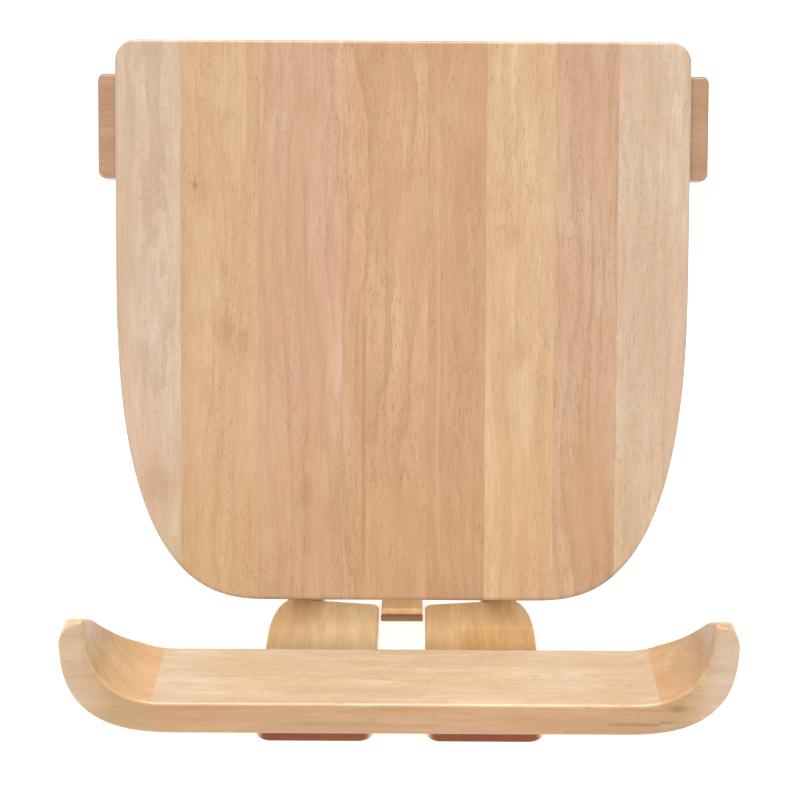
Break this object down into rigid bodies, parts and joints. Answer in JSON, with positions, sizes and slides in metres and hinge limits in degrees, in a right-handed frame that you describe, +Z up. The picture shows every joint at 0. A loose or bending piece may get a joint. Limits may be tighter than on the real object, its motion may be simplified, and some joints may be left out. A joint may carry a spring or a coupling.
{
  "type": "bible stand",
  "caption": "Wooden bible stand: staved reading board on a clamped tilt hinge, book ledge with upturned ends, flat feet and rear rail.",
  "frame": {"origin": "centre of the stand's footprint, on the surface it stands on", "axes": "+Z up, the reader looks along +Y, +X is the reader's right"},
  "size_m": [0.3904, 0.3, 0.3879],
  "materials": {
    "stave_1": "satin lacquer",
    "stave_2": "satin lacquer",
    "stave_3": "satin lacquer",
    "stave_4": "satin lacquer",
    "stave_5": "satin lacquer",
    "stave_6": "satin lacquer",
    "stave_7": "satin lacquer",
    "stave_8": "satin lacquer",
    "ledge": "satin lacquer",
    "ledge_end": "satin lacquer",
    "foot": "satin lacquer",
    "bar": "satin lacquer",
    "frame": "satin lacquer",
    "strip": "satin lacquer",
    "rubber": "matte",
    "steel": "zinc plated",
    "knob": "matte"
  },
  "bodies": {
    "base": {"ledge_plank": "ledge", "ledge_end_left": "ledge_end", "foot_left": "foot", "runner_left": "frame", "hinge_cheek_left": "frame", "washer_left": "steel", "foot_screw_left_1": "steel", "cheek_screw_left_1": "steel", "foot_screw_left_2": "steel", "cheek_screw_left_2": "steel", "pad_front_left": "rubber", "pad_rear_left": "rubber", "ledge_end_right": "ledge_end", "foot_right": "foot", "runner_right": "frame", "hinge_cheek_right": "frame", "washer_right": "steel", "foot_screw_right_1": "steel", "cheek_screw_right_1": "steel", "foot_screw_right_2": "steel", "cheek_screw_right_2": "steel", "pad_front_right": "rubber", "pad_rear_right": "rubber", "centre_tongue": "frame", "tie_strip": "strip", "stretcher": "frame", "rear_rail": "frame", "pivot_rod": "steel"},
    "board": {"board_stave_1": "stave_1", "board_stave_2": "stave_2", "board_stave_3": "stave_3", "board_stave_4": "stave_4", "board_stave_5": "stave_5", "board_stave_6": "stave_6", "board_stave_7": "stave_7", "board_stave_8": "stave_8", "cross_bar": "bar", "spine": "frame", "hinge_batten": "frame", "bar_screw_1": "steel", "bar_screw_2": "steel", "bar_screw_3": "steel", "bar_screw_4": "steel", "spine_screw_1": "steel", "spine_screw_2": "steel", "batten_screw_left": "steel", "batten_screw_right": "steel"},
    "knob_left": {"knob_left": "knob"},
    "knob_right": {"knob_right": "knob"}
  },
  "joints": [
    {"name": "board_tilt", "type": "hinge", "parent": "base", "child": "board", "pos_m": [0, -0.035, 0.07961], "axis": [1, 0, 0], "range_deg": [-30, 10]},
    {"name": "knob_left_turn", "type": "hinge", "parent": "base", "child": "knob_left", "pos_m": [-0.08, -0.035, 0.07961], "axis": [-1, 0, 0], "continuous": true},
    {"name": "knob_right_turn", "type": "hinge", "parent": "base", "child": "knob_right", "pos_m": [0.08, -0.035, 0.07961], "axis": [1, 0, 0], "continuous": true}
  ]
}
